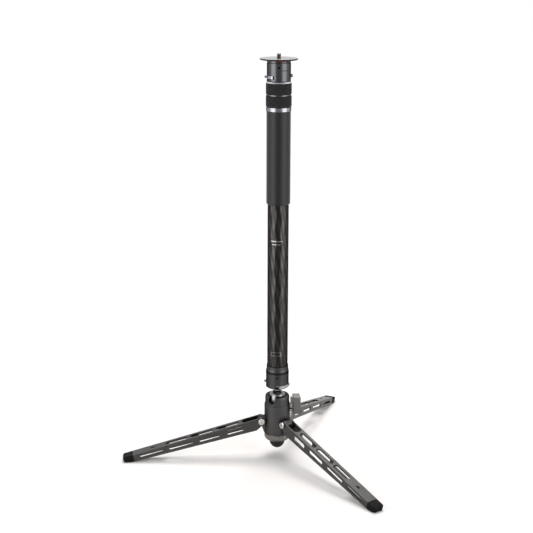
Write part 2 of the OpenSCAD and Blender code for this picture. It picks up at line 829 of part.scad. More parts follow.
module lower_button_spring() {
    color(steel) button_spring(z_mouth, low_qr_d / 2, low_button_angle, low_button_up);
}

module lower_set_screw() {
    color(steel) grub_screw(z_mouth, low_qr_d / 2, low_grub_up);
}

module lower_trim_ring() {
    band_proud = 0.1;
    r = low_qr_d / 2 + band_proud;
    band_h = 2.1;
    groove_w = 0.7;
    top_r = tube_r + end_ring_wall;
    color(anodised) rotate_extrude() polygon([
        [tube_in_r, z_low_trim], [r, z_low_trim], [r, z_low_trim + band_h],
        [r - groove_w, z_low_trim + band_h], [r - groove_w, z_low_trim + band_h + groove_w],
        [r - groove_w / 2, z_low_trim + band_h + groove_w], [top_r, z_tube], [tube_in_r, z_tube]
    ]);
}

// Outer section: carbon tube, end ring, foam grip and bright ring
module tube_end_ring() {
    ring_r = tube_r + end_ring_wall;
    top_chamfer = 0.5;
    color(rubber) rotate_extrude() polygon([
        [tube_r + glue_gap, z_tube], [ring_r, z_tube], [ring_r, z_tube + end_ring_h - top_chamfer],
        [ring_r - top_chamfer, z_tube + end_ring_h], [tube_r + glue_gap, z_tube + end_ring_h]
    ]);
}

module outer_tube() {
    color(carbon) tube(tube_r, tube_in_r, z_tube, z_tube_top);
}

module foam_grip() {
    r = grip_d / 2;
    chamfer = 1.2;
    color(foam) rotate_extrude() polygon([
        [tube_r + glue_gap, z_grip], [r - chamfer, z_grip], [r, z_grip + chamfer],
        [r, z_grip_ring], [tube_r + glue_gap, z_grip_ring]
    ]);
}

module grip_end_ring() {
    r = grip_ring_d / 2;
    chamfer = 0.8;
    color(bright) rotate_extrude() polygon([
        [tube_r + glue_gap, z_grip_ring], [r - chamfer, z_grip_ring], [r, z_grip_ring + chamfer],
        [r, z_grip_ring + grip_ring_h - chamfer], [r - chamfer, z_grip_ring + grip_ring_h],
        [tube_r + glue_gap, z_grip_ring + grip_ring_h]
    ]);
}

// Twist locks: ferrule bonded to the lower tube, split collet round the upper tube,
// turning collar over both and a ribbed rubber sleeve on the collar
collet_slots = 4;
collet_slot_w = 1;
lock_lip_h = 2;
ferrule_h = 10;

module lock_ferrule(z, r_tube) {
    tube(ferrule_r, r_tube + glue_gap, z, z + ferrule_h);
}

module lock_collet(z, r_lower, r_upper) {
    collet_z = z + tube_in_ferrule + seat_gap;
    collet_top = z + lock_h - lock_lip_h - face_gap;
    taper_h = 1.5;
    taper_in = 1;
    root_h = 2;
    slot_turn = 45;
    difference() {
        rotate_extrude() polygon([
            [r_upper + run_gap, collet_z], [r_lower - glue_gap, collet_z],
            [r_lower - glue_gap, collet_top - taper_h], [r_lower - taper_in, collet_top],
            [r_upper + run_gap, collet_top]
        ]);
        for (i = [0:collet_slots - 1])
            rotate([0, 0, slot_turn + 360 * i / collet_slots])
                translate([0, -collet_slot_w / 2, collet_z + root_h])
                    cube([r_lower + overshoot, collet_slot_w, lock_h]);
    }
}

module lock_collar(z, r_upper) {
    difference() {
        translate([0, 0, z]) cylinder(r = collar_r, h = lock_h);
        translate([0, 0, z - overshoot])
            cylinder(r = ferrule_r + run_gap, h = lock_h - lock_lip_h + overshoot);
        translate([0, 0, z]) cylinder(r = r_upper + face_gap, h = lock_h + overshoot);
    }
}

module lock_sleeve(z) {
    edge = 0.6;
    inset = 0.4;
    groove = 0.35;
    grooves = 7;
    pitch = (lock_h - 2 * inset) / (grooves + 1);
    difference() {
        rotate_extrude() polygon([
            [collar_r + glue_gap, z + inset], [lock_r - edge, z + inset], [lock_r, z + inset + edge],
            [lock_r, z + lock_h - inset - edge], [lock_r - edge, z + lock_h - inset],
            [collar_r + glue_gap, z + lock_h - inset]
        ]);
        for (i = [1:grooves])
            tube(lock_r + overshoot, lock_r - groove, z + inset + i * pitch - groove,
                z + inset + i * pitch);
    }
}

module lower_lock_ferrule() { color(anodised) lock_ferrule(z_low_lock, tube_r); }
module lower_lock_collet() { color(nylon) lock_collet(z_low_lock, tube_r, mid_r); }
module lower_lock_collar() { color(anodised) lock_collar(z_low_lock, mid_r); }
module lower_lock_sleeve() { color(rubber) lock_sleeve(z_low_lock); }
module upper_lock_ferrule() { color(anodised) lock_ferrule(z_top_lock, mid_r); }
module upper_lock_collet() { color(nylon) lock_collet(z_top_lock, mid_r, inner_r); }
module upper_lock_collar() { color(anodised) lock_collar(z_top_lock, inner_r); }
module upper_lock_sleeve() { color(rubber) lock_sleeve(z_top_lock); }

// Guide shims: two half shells snapped round a tube's lower end
module guide_shims(z, r, room) {
    for (side = [0, 180])
        arc_tube(r + room - 2 * run_gap, r + glue_gap, z, z + shim_h, [side + 5, side + 175]);
}

module mid_tube() { color(carbon) tube(mid_r, mid_in_r, z_mid, z_mid_top); }
module mid_tube_shims() { color(nylon) guide_shims(z_mid, mid_r, tube_gap); }
module inner_tube() { color(carbon) tube(inner_r, inner_in_r, z_inner, z_inner_top - spigot_flange_h); }
module inner_tube_shims() { color(nylon) guide_shims(z_inner, inner_r, tube_gap); }

module mid_trim_ring() {
    ring_r = 18.25;
    chamfer = 0.5;
    color(bright) rotate_extrude() polygon([
        [mid_r + glue_gap, z_mid_trim], [ring_r - chamfer, z_mid_trim], [ring_r, z_mid_trim + chamfer],
        [ring_r, z_mid_trim + mid_trim_h - chamfer], [ring_r - chamfer, z_mid_trim + mid_trim_h],
        [mid_r + glue_gap, z_mid_trim + mid_trim_h]
    ]);
}

module top_trim_ring() {
    low_r = 18.95;
    high_r = 18.1;
    chamfer = 0.4;
    color(bright) rotate_extrude() polygon([
        [inner_r + glue_gap, z_top_trim], [low_r - chamfer, z_top_trim], [low_r, z_top_trim + chamfer],
        [high_r, z_inner_top - chamfer], [high_r - chamfer, z_inner_top],
        [inner_r + glue_gap, z_inner_top]
    ]);
}

// Spigot at the column's top: plugged into the inner tube
spigot_flange_h = 1;

module column_top_spigot() {
    plug_h = 18;
    color(steel) rotate_extrude() {
        translate([0, z_inner_top - spigot_flange_h - plug_h])
            square([inner_in_r - glue_gap, plug_h + spigot_flange_h / 2]);
        translate([0, z_inner_top - spigot_flange_h]) square([inner_r, spigot_flange_h]);
        translate([0, z_inner_top - overshoot]) square([spigot_r, 2 * overshoot]);
        spigot_profile(z_top_mouth, top_lever_up);
    }
}

// Upper socket with the camera plate on it
camera_screw_in = 3.4;
shank_in = 0.2;
screw_shank_r = camera_screw_d / 2 - shank_in;

module upper_qr_body() {
    r = top_qr_d / 2;
    line_up = 16;
    line_z = z_top_mouth + line_up;
    line_w = 0.8;
    line_deep = 0.5;
    line_turn = [-77, -42];
    color(anodised) difference() {
        rotate_extrude() polygon([
            [0, z_top_mouth], [r - mouth_chamfer, z_top_mouth], [r, z_top_mouth + mouth_chamfer],
            [r, z_index - mouth_chamfer], [r - mouth_chamfer, z_index], [0, z_index]
        ]);
        socket_cuts(z_top_mouth, r, top_lever_up, top_slot_turn, top_button_angle, top_button_up,
            top_grub_up);
        arc_tube(r + overshoot, r - line_deep, line_z, line_z + line_w, line_turn);
        translate([0, 0, z_index - camera_screw_in])
            cylinder(r = screw_shank_r + run_gap, h = camera_screw_in + overshoot);
    }
}

module upper_qr_lever() {
    color(bright)
        release_lever(z_top_mouth, top_qr_d / 2, top_lever_up, top_lever_turn, top_tab_turn, top_tab_proud);
}

module upper_clamp_ring() {
    color(steel) clamp_ring(z_top_mouth, top_lever_up, top_button_angle);
}

module upper_retaining_ring() {
    color(steel) retaining_ring(z_top_mouth, top_lever_up, top_button_angle);
}

module upper_qr_button() {
    color(anodised) release_button(z_top_mouth, top_qr_d / 2, top_button_angle, top_button_up);
}

module upper_button_spring() {
    color(steel) button_spring(z_top_mouth, top_qr_d / 2, top_button_angle, top_button_up);
}

module upper_set_screw() {
    color(steel) grub_screw(z_top_mouth, top_qr_d / 2, top_grub_up);
}

// Index ring: a grey band over a groove, with a window on the red ring behind it
index_wall = 0.9;
index_in = 0.3;
index_groove = 0.5;
index_groove_h = 0.8;
red_wall = 0.8;
index_r = top_qr_d / 2 - index_in;
index_in_r = index_r - index_wall;
red_in_r = index_in_r - run_gap - red_wall;
window_turn = [-106, -41];
window_rim = 0.2;

module index_ring() {
    band_z = z_index + index_groove_h;
    color(anodised) difference() {
        rotate_extrude() polygon([
            [index_in_r, z_index], [index_r - index_groove, z_index], [index_r - index_groove, band_z],
            [index_r, band_z], [index_r, z_plate], [index_in_r, z_plate]
        ]);
        arc_tube(index_r + overshoot, index_in_r - overshoot / 2, band_z + window_rim, z_plate + overshoot,
            window_turn);
    }
}

module red_index_ring() {
    color(red) tube(index_in_r - run_gap, red_in_r, z_index, z_plate);
}

module camera_plate() {
    r = plate_d / 2;
    edge = 0.4;
    under = 0.9;
    sink_room = 0.35;
    sink_r = camera_screw_d / 2 + sink_room;
    sink_h = sink_r - screw_shank_r - run_gap;
    color(anodised) difference() {
        rotate_extrude() polygon([
            [0, z_index], [red_in_r - run_gap, z_index], [red_in_r - run_gap, z_plate],
            [r - under, z_plate], [r, z_plate + under], [r, z_plate_top - edge],
            [r - edge, z_plate_top], [0, z_plate_top]
        ]);
        translate([0, 0, z_index - overshoot])
            cylinder(r = screw_shank_r + run_gap, h = index_h + plate_h + 2 * overshoot);
        translate([0, 0, z_plate_top - sink_h])
            cylinder(r1 = sink_r - sink_h, r2 = sink_r + overshoot, h = sink_h + overshoot);
    }
}

module camera_screw() {
    tip = 0.6;
    r = camera_screw_d / 2;
    foot_z = z_index - camera_screw_in + seat_gap;
    top_z = z_plate_top + camera_screw_h;
    color(steel) rotate_extrude() polygon([
        [0, foot_z], [screw_shank_r, foot_z], [screw_shank_r, z_plate_top], [r, z_plate_top],
        [r, top_z - tip], [r - tip, top_z], [0, top_z]
    ]);
}

base_hub();
ball_socket_cap();
ball_seat();
ball();
ball_stem();
lock_knob();
lock_knob_screw();
lock_knob_tip();
foot_ring();
rubber_foot();
foot_stud();
leg(0);  // leg_1
leg(1);  // leg_2
leg(2);  // leg_3
leg_foot_cap(0);  // leg_foot_cap_1
leg_foot_cap(1);  // leg_foot_cap_2
leg_foot_cap(2);  // leg_foot_cap_3
leg_pivot_bolts();
leg_pivot_nuts();
leg_pivot_washers();
lower_qr_body();
lower_qr_lever();
lower_clamp_ring();
lower_retaining_ring();
lower_qr_button();
lower_button_spring();
lower_set_screw();
lower_trim_ring();
tube_end_ring();
outer_tube();
foam_grip();
grip_end_ring();
lower_lock_ferrule();
lower_lock_collet();
lower_lock_collar();
lower_lock_sleeve();
mid_tube();
mid_tube_shims();
mid_trim_ring();
upper_lock_ferrule();
upper_lock_collet();
upper_lock_collar();
upper_lock_sleeve();
inner_tube();
inner_tube_shims();
top_trim_ring();
column_top_spigot();
upper_qr_body();
upper_qr_lever();
upper_clamp_ring();
upper_retaining_ring();
upper_qr_button();
upper_button_spring();
upper_set_screw();
index_ring();
red_index_ring();
camera_plate();
camera_screw();
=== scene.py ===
"""Camera monopod on three open legs: finishes, fine pieces and a plain studio."""

import math

import bpy
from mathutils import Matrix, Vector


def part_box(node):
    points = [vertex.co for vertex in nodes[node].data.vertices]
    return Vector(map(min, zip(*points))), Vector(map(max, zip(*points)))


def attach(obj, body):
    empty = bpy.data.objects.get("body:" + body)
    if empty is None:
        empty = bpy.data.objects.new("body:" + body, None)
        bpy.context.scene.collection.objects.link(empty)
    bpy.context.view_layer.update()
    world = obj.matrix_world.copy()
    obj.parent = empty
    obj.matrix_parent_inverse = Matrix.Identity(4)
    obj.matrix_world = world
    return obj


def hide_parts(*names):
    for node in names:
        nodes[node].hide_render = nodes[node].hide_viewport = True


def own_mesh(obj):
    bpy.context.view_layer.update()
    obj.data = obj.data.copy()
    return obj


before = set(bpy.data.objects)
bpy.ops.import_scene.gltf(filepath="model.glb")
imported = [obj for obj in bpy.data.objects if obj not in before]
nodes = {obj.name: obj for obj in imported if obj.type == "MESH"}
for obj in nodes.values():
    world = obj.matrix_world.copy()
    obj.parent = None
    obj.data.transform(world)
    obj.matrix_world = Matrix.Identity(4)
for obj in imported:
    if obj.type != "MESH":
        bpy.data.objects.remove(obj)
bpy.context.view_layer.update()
scene = bpy.context.scene
scene.view_settings.view_transform = "Standard"


# Camera: it stands in front of the column, a little to its left and above, and looks down.
# The distance is measured along the view to the column's axis. The camera is rolled about its
# own line of sight first, and then tilted.
picture_px = 533
focal_px = 1144.0
sensor_mm = 36.0
look_down = math.radians(15.639)
view_distance = 1.7525
aim_height = 0.31164
aim_left = 0.01746
camera_roll = math.radians(0.131)

camera_data = bpy.data.cameras.new("camera")
camera_data.sensor_width = sensor_mm
camera_data.lens = focal_px / picture_px * sensor_mm
camera = bpy.data.objects.new("camera", camera_data)
scene.collection.objects.link(camera)
camera.location = (
    -aim_left,
    -view_distance * math.cos(look_down),
    aim_height + view_distance * math.sin(look_down),
)
camera.rotation_mode = "ZYX"
camera.rotation_euler = (math.radians(90) - look_down, 0, camera_roll)
scene.camera = camera


# Studio floor: a wide white table whose front edge is just out of the picture. It takes the
# object's soft shadow, and its own whiteness is lifted for the camera and for reflections only.
class Value:
    """One value of a finish; arithmetic on it adds Math nodes."""

    def __init__(self, finish, socket):
        self.finish = finish
        self.socket = socket

    def maths(self, operation, *values):
        numbered = dict(enumerate(values))
        return self.finish.node("Math", {"operation": operation}, numbered)

    def __add__(self, other):
        return self.maths("ADD", self, other)

    __radd__ = __add__

    def __sub__(self, other):
        return self.maths("SUBTRACT", self, other)

    def __rsub__(self, other):
        return self.maths("SUBTRACT", other, self)

    def __mul__(self, other):
        return self.maths("MULTIPLY", self, other)

    __rmul__ = __mul__

    def __truediv__(self, other):
        return self.maths("DIVIDE", self, other)

    def __rtruediv__(self, other):
        return self.maths("DIVIDE", other, self)

    def root(self):
        return self.maths("SQRT", self)

    def larger(self, other):
        return self.maths("MAXIMUM", self, other)

    def between(self, low, high):
        """The low number where the value is 0, the high one where it is 1."""
        return self * (high - low) + low

    def wave(self):
        """A sine of the value, between 0 and 1."""
        return self.maths("SINE", self) * 0.5 + 0.5

    def above(self, edge, blur):
        """0 under the edge, 1 over it, with a soft step as wide as the blur."""
        limits = {"From Min": edge - blur / 2, "From Max": edge + blur / 2}
        settings = {"interpolation_type": "SMOOTHSTEP"}
        return self.finish.node("MapRange", settings, {"Value": self, **limits})


class Finish:
    """A procedural material: a shader and the nodes that feed it."""

    def __init__(self, name, sockets):
        self.material = bpy.data.materials.new(name)
        self.material.use_nodes = True
        self.tree = self.material.node_tree
        self.shader = self.tree.nodes["Principled BSDF"]
        self.set(sockets)

    def feed(self, socket, value):
        if isinstance(value, Value):
            self.tree.links.new(value.socket, socket)
        elif socket.type == "RGBA":
            socket.default_value = (*value, 1.0)
        else:
            socket.default_value = value

    def set(self, sockets):
        for name, value in sockets.items():
            self.feed(self.shader.inputs[name], value)

    def node(self, kind, settings, sockets, outlet=0):
        made = self.tree.nodes.new("ShaderNode" + kind)
        for name, setting in settings.items():
            setattr(made, name, setting)
        for name, value in sockets.items():
            self.feed(made.inputs[name], value)
        return Value(self, made.outputs[outlet])

    def place(self):
        return self.node("TexCoord", {}, {}, "Object")

    def axis(self, letter):
        return self.node("SeparateXYZ", {}, {"Vector": self.place()}, letter)

    def noise(self, scale, detail=2.0, stretch=(1, 1, 1)):
        stretched = self.node("Mapping", {}, {"Vector": self.place(), "Scale": stretch})
        return self.node("TexNoise", {}, {"Vector": stretched, "Scale": scale, "Detail": detail})

    def mix(self, mask, low, high):
        """The low colour where the mask is 0, the high one where it is 1."""
        colour_a, colour_b, colour_out = 6, 7, 2
        sockets = {"Factor": mask, colour_a: low, colour_b: high}
        return self.node("Mix", {"data_type": "RGBA"}, sockets, colour_out)

    def bump(self, height, strength, distance):
        sockets = {"Height": height, "Strength": strength, "Distance": distance}
        self.set({"Normal": self.node("Bump", {}, sockets)})

    def dress(self, *names):
        """Puts the finish on CAD nodes."""
        for name in names:
            slots = nodes[name].material_slots
            if slots:
                slots[0].material = self.material
            else:
                nodes[name].data.materials.append(self.material)


def seen_rays(owner):
    """1 on rays that show a background: those of the camera, of gloss and of glass."""
    kinds = ("Is Camera Ray", "Is Glossy Ray", "Is Transmission Ray")
    camera_ray, glossy_ray, through_ray = [owner.node("LightPath", {}, {}, kind) for kind in kinds]
    return camera_ray.larger(glossy_ray).larger(through_ray)


floor_side = 60.0
floor_front = 0.34
floor_fade = 0.09      # width of the band at the front edge that turns plain white
floor_lift = 0.10      # share of plain white under the object
floor_near = 0.30
floor_far = 0.60       # plain white from here on
bpy.ops.object.select_all(action="DESELECT")
bpy.ops.mesh.primitive_plane_add(size=floor_side, location=(0, floor_side / 2 - floor_front, 0))
floor = bpy.context.object
floor.name = "studio_floor"
bpy.ops.object.transform_apply(location=True, rotation=True, scale=True)
floor_sockets = {"Base Color": (0.80, 0.774, 0.758), "Roughness": 0.9, "Specular IOR Level": 0.0}
floor_finish = Finish("studio_floor", floor_sockets)
floor_white = floor_finish.node("Emission", {}, {"Color": (1, 1, 1), "Strength": 1.0})
floor_sheet = Value(floor_finish, floor_finish.shader.outputs[0])
floor_place = floor_finish.place()
floor_reach = floor_finish.node("VectorMath", {"operation": "LENGTH"}, {0: floor_place}, "Value")
floor_away = floor_reach.above((floor_near + floor_far) / 2, floor_far - floor_near)
floor_edge = 1 - floor_finish.axis("Y").above(floor_fade / 2 - floor_front, floor_fade)
floor_share = floor_away.larger(floor_edge).between(floor_lift, 1)
floor_mixed = floor_finish.node(
    "MixShader", {}, {0: seen_rays(floor_finish) * floor_share, 1: floor_sheet, 2: floor_white})
floor_outlet = floor_finish.tree.nodes["Material Output"].inputs["Surface"]
floor_finish.feed(floor_outlet, floor_mixed)
floor.data.materials.append(floor_finish.material)


# Studio light: a white backdrop behind, a dimmer room in front, two broad soft boxes at the
# sides and a wide one overhead. The side boxes give the two upright bands of light on the column.
class Surround(Finish):
    """The world's shader, fed in the same way as a material's."""

    def __init__(self, name):
        self.world = bpy.data.worlds.new(name)
        self.world.use_nodes = True
        self.tree = self.world.node_tree
        self.shader = self.tree.nodes["Background"]

    def place(self):
        return self.node("TexCoord", {}, {}, "Generated")


surround_fill = 0.14     # light that the world itself gives
front_room = 0.40        # brightness of the room in front, in reflections
backdrop_edge = -0.1
backdrop_blur = 0.6
surround = Surround("white_surround")
surround_camera = surround.node("LightPath", {}, {}, "Is Camera Ray")
surround_back = surround.axis("Y").above(backdrop_edge, backdrop_blur).between(front_room, 1)
surround_shown = surround_camera.larger(surround_back)
surround_seen = seen_rays(surround)
surround_strength = surround_seen * surround_shown + (1 - surround_seen) * surround_fill
surround.set({"Color": (1, 1, 1), "Strength": surround_strength})
scene.world = surround.world


def soft_box(name, turn, distance, height, size, watts, aim):
    """An area lamp at a direction round the column, turned to face a height on its axis."""
    lamp_data = bpy.data.lights.new(name, "AREA")
    lamp_data.shape = "RECTANGLE"
    lamp_data.size, lamp_data.size_y = size
    lamp_data.energy = watts
    lamp = bpy.data.objects.new(name, lamp_data)
    scene.collection.objects.link(lamp)
    around = math.radians(turn)
    lamp.location = (distance * math.cos(around), distance * math.sin(around), height)
    tilt = math.atan2(distance, height - aim)
    lamp.rotation_euler = (tilt, 0, around + math.radians(90))
    lamp.visible_camera = False


soft_box("left_soft_box", turn=-145, distance=1.6, height=0.45, size=(1.3, 2.2), watts=28.0, aim=0.3)
soft_box("right_soft_box", turn=-35, distance=1.6, height=0.45, size=(1.3, 2.2), watts=26.0, aim=0.3)
soft_box("top_soft_box", turn=90, distance=0.70, height=2.1, size=(1.4, 1.4), watts=54.0, aim=0.0)


# Rubber tip under the hub: a dome of dull black rubber with a fine moulded grain, screwed on the
# stud that comes down from the hub. The padded sleeves of the twist locks are of the same rubber.
rubber = Finish("black_rubber", {"Roughness": 0.7, "Specular IOR Level": 0.2})
rubber_dust = rubber.noise(scale=260, detail=4)
rubber_colour = rubber.mix(rubber_dust, low=(0.010, 0.010, 0.011), high=(0.024, 0.023, 0.023))
rubber.set({"Base Color": rubber_colour})
rubber.bump(rubber.noise(scale=2600), strength=0.25, distance=0.0002)
rubber.dress("rubber_foot")


# Fluted clamp ring over the tip: bare grey alloy, turned to a bowl, with flutes milled round it
# for the fingers, and bead-blasted. It is screwed up against the hub on the tip's stud.
def anodised(name, low, high, roughness, edge_tint=0.5):
    """Bead-blasted alloy: a metal whose shade and gloss drift a little from place to place."""
    gloss_drift = 0.06
    finish = Finish(name, {"Metallic": 1.0, "Specular Tint": (edge_tint, edge_tint, edge_tint)})
    cloud = finish.noise(scale=90, detail=4)
    finish.set({"Base Color": finish.mix(cloud, low, high)})
    finish.set({"Roughness": cloud.between(roughness - gloss_drift, roughness + gloss_drift)})
    finish.bump(finish.noise(scale=2400), strength=0.3, distance=0.00004)
    return finish


ring_alloy = anodised(
    "ring_alloy", low=(0.16, 0.155, 0.15), high=(0.22, 0.215, 0.21), roughness=0.34)
ring_alloy.dress("foot_ring")


# Hub with its three pivot tongues, and the cap over the ball: cast, machined, bead-blasted and
# dyed dark grey. Real edges are broken, so the shown pieces are copies with eased edges.
def choose(piece):
    """Makes a piece the only selected one, and the active one."""
    bpy.ops.object.select_all(action="DESELECT")
    bpy.context.view_layer.objects.active = piece
    piece.select_set(True)


def eased_copy(node, body, width, finish):
    """A copy of a CAD node whose sharp edges are broken by a small bevel; it stands for the node."""
    merge_reach = 0.000002
    flat_within = math.radians(0.4)
    sharp_from = math.radians(32)
    piece = bpy.data.objects.new(node + "_eased", nodes[node].data.copy())
    scene.collection.objects.link(piece)
    choose(piece)
    bpy.ops.object.mode_set(mode="EDIT")
    bpy.ops.mesh.select_all(action="SELECT")
    bpy.ops.mesh.customdata_custom_splitnormals_clear()
    bpy.ops.mesh.remove_doubles(threshold=merge_reach)
    bpy.ops.mesh.dissolve_limited(angle_limit=flat_within)
    bpy.ops.object.mode_set(mode="OBJECT")
    edge = piece.modifiers.new("eased_edge", "BEVEL")
    edge.width = width
    edge.segments = 2
    edge.limit_method = "ANGLE"
    edge.angle_limit = sharp_from
    edge.harden_normals = True
    bpy.ops.object.shade_smooth()
    bpy.ops.object.modifier_apply(modifier=edge.name)
    piece.data.materials.clear()
    piece.data.materials.append(finish.material)
    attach(piece, body)
    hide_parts(node)
    return piece


hub_edge = 0.0004
cap_edge = 0.0003
casting = anodised(
    "dark_casting", low=(0.058, 0.057, 0.057), high=(0.086, 0.085, 0.085), roughness=0.40, edge_tint=0.3)
eased_copy("base_hub", "hub", hub_edge, casting)
eased_copy("ball_socket_cap", "hub", cap_edge, casting)


# Legs: tapering channels pressed from alloy sheet, pierced for lightness in the sides and the
# web, dyed dark grey. Each folds on a bolt through one of the hub's tongues.
leg_edge = 0.0004
leg_alloy = anodised(
    "leg_alloy", low=(0.052, 0.051, 0.051), high=(0.078, 0.076, 0.075), roughness=0.31, edge_tint=1.0)
leg_bodies = ("left_leg", "front_leg", "rear_leg")
for leg_number, leg_body in enumerate(leg_bodies, start=1):
    eased_copy("leg_%d" % leg_number, leg_body, leg_edge, leg_alloy)


# Foot caps: dull black rubber, moulded with a fine grain. They plug the ends of the legs and
# are cut flat where they stand on the floor.
foot_cap_edge = 0.0009
cap_rubber = Finish("cap_rubber", {"Roughness": 0.7, "Specular IOR Level": 0.08})
cap_cloud = cap_rubber.noise(scale=160, detail=3)
cap_colour = cap_rubber.mix(cap_cloud, low=(0.004, 0.004, 0.004), high=(0.009, 0.009, 0.009))
cap_rubber.set({"Base Color": cap_colour})
cap_rubber.bump(cap_rubber.noise(scale=2200), strength=0.2, distance=0.0002)
for leg_number, leg_body in enumerate(leg_bodies, start=1):
    eased_copy("leg_foot_cap_%d" % leg_number, leg_body, foot_cap_edge, cap_rubber)


# Leg pivots: a steel bolt with a cross recess through each leg, closed by a cap nut with a
# hexagon recess, and nylon washers beside the tongue. The plain steel and nylon pieces inside
# the hub and the column have the same two finishes.
steel = Finish("plain_steel", {"Metallic": 1.0})
steel_cloud = steel.noise(scale=700, detail=3)
steel.set({"Base Color": steel.mix(steel_cloud, low=(0.46, 0.44, 0.41), high=(0.62, 0.60, 0.57))})
steel.set({"Roughness": steel_cloud.between(0.2, 0.4)})
pivot_edge = 0.0003
pivot_r = 0.026
pivot_z = 0.0601
leg_turns = (-173.6, -53.6, 66.4)
bolt_end = 0.0120
cross_len = 0.0052
cross_w = 0.0010
hex_r = 0.0019
recess_depth = 0.0010
cross_depth = 1.1 * recess_depth    # the second bar is deeper, so that the floors aren't in one plane


def cut_out(piece, cutter):
    """Cuts the shape of a new primitive out of a piece, and takes the primitive away."""
    bpy.ops.object.transform_apply(location=True, rotation=True, scale=True)
    cut = piece.modifiers.new("cut", "BOOLEAN")
    cut.object = cutter
    cut.operation = "DIFFERENCE"
    bpy.context.view_layer.objects.active = piece
    bpy.ops.object.modifier_apply(modifier=cut.name)
    bpy.data.objects.remove(cutter)


pivot_bolts = eased_copy("leg_pivot_bolts", "hub", pivot_edge, steel)
pivot_nuts = eased_copy("leg_pivot_nuts", "hub", pivot_edge, steel)
cross_bars = ((cross_len, cross_w, recess_depth), (cross_w, cross_len, cross_depth))
for leg_turn in leg_turns:
    around = math.radians(leg_turn)
    pivot_x = pivot_r * math.cos(around)
    pivot_y = pivot_r * math.sin(around)
    out_x = bolt_end * math.sin(around)
    out_y = -bolt_end * math.cos(around)
    bolt_face = (pivot_x + out_x, pivot_y + out_y, pivot_z)
    nut_face = (pivot_x - out_x, pivot_y - out_y, pivot_z)
    for bar_x, bar_z, bar_depth in cross_bars:
        bpy.ops.object.select_all(action="DESELECT")
        bpy.ops.mesh.primitive_cube_add(size=1, location=bolt_face, rotation=(0, 0, around))
        bpy.context.object.scale = (bar_x, 2 * bar_depth, bar_z)
        cut_out(pivot_bolts, bpy.context.object)
    bpy.ops.object.select_all(action="DESELECT")
    bpy.ops.mesh.primitive_cylinder_add(
        vertices=6, radius=hex_r, depth=2 * recess_depth, location=nut_face,
        rotation=(math.radians(90), 0, around))
    cut_out(pivot_nuts, bpy.context.object)
steel.dress("foot_stud", "lock_knob_screw", "lower_retaining_ring", "upper_retaining_ring")
steel.dress("column_top_spigot")

nylon = Finish("natural_nylon", {"Roughness": 0.5})
nylon_cloud = nylon.noise(scale=300, detail=3)
nylon.set({"Base Color": nylon.mix(nylon_cloud, low=(0.68, 0.67, 0.62), high=(0.78, 0.77, 0.73))})
nylon.bump(nylon.noise(scale=1800), strength=0.2, distance=0.0001)
nylon.dress("leg_pivot_washers", "lock_knob_tip", "mid_tube_shims", "inner_tube_shims")
nylon.dress("lower_lock_collet", "upper_lock_collet")


# Lock knob: a block-shaped wing of smooth grey alloy, milled, with its edges broken. It sits on
# the outer end of the screw that presses the cup against the ball.
knob_edge = 0.0004
knob_alloy = anodised(
    "knob_alloy", low=(0.17, 0.167, 0.164), high=(0.215, 0.212, 0.208), roughness=0.44, edge_tint=0.7)
eased_copy("lock_knob", "lock_knob", knob_edge, knob_alloy)


# Ball joint: a polished metal ball and the stem that is pinned in it, both turned, with faint
# lines round them. The ball sits in a bowl of dark nylon inside the hub.
ball_metal = Finish("polished_ball", {"Metallic": 1.0})
ball_lines = ball_metal.noise(scale=500, detail=3, stretch=(0.2, 0.2, 6))
ball_colour = ball_metal.mix(ball_lines, low=(0.17, 0.168, 0.168), high=(0.24, 0.238, 0.238))
ball_metal.set({"Base Color": ball_colour})
ball_metal.set({"Roughness": ball_lines.between(0.18, 0.30)})
ball_metal.dress("ball", "ball_stem")

cup_nylon = Finish("dark_nylon", {"Roughness": 0.6})
cup_cloud = cup_nylon.noise(scale=300, detail=3)
cup_colour = cup_nylon.mix(cup_cloud, low=(0.020, 0.020, 0.021), high=(0.034, 0.034, 0.035))
cup_nylon.set({"Base Color": cup_colour})
cup_nylon.dress("ball_seat")


# Quick-release sockets and the rings next to them: alloy turned on a lathe and anodised black,
# with fine lines round it. The lower socket is duller, and the rings over it have two bands of
# painted shade. The upper socket ends in a dark lip, and its groove, slot and bore are painted dark as
# painted shade.
def turned_alloy(name, low, high, roughness):
    """Turned and anodised alloy with fine lines round it; its colour is kept, to mix with another."""
    gloss_drift = 0.05
    finish = Finish(name, {"Metallic": 1.0, "Specular Tint": (0.25, 0.25, 0.25)})
    lines = finish.noise(scale=900, stretch=(0.02, 0.02, 8))
    finish.colour = finish.mix(finish.noise(scale=80, detail=4), low, high)
    finish.set({"Base Color": finish.colour})
    finish.set({"Roughness": lines.between(roughness - gloss_drift, roughness + gloss_drift)})
    finish.bump(lines, strength=0.12, distance=0.00004)
    return finish


lower_socket_edge = 0.0002
dull_turned = turned_alloy(
    "dull_turned", low=(0.048, 0.048, 0.050), high=(0.066, 0.066, 0.068), roughness=0.42)
dull_turned.dress("lower_lock_ferrule", "upper_lock_ferrule", "lower_lock_collar", "upper_lock_collar")
eased_copy("lower_qr_body", "column", lower_socket_edge, dull_turned)

# Painted shade: the lower part of the trim ring, where its grooves are, and the top edge of the tube's
# end ring are painted near black.
groove_shade_h = 0.0029
top_shade_h = 0.0016
painted_shade_blur = 0.0003
painted_shade_black = (0.022, 0.022, 0.023)
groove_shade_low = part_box("lower_trim_ring")[0].z
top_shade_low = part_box("tube_end_ring")[1].z - top_shade_h
ringed = turned_alloy(
    "ringed_turned", low=(0.056, 0.056, 0.058), high=(0.074, 0.074, 0.076), roughness=0.42)
ringed_z = ringed.axis("Z")
painted_groove_shade = 1 - ringed_z.above(groove_shade_low + groove_shade_h, painted_shade_blur)
painted_shade_mask = painted_groove_shade + ringed_z.above(top_shade_low, painted_shade_blur)
ringed.set({"Base Color": ringed.mix(painted_shade_mask, low=ringed.colour, high=painted_shade_black)})
ringed.dress("lower_trim_ring", "tube_end_ring")

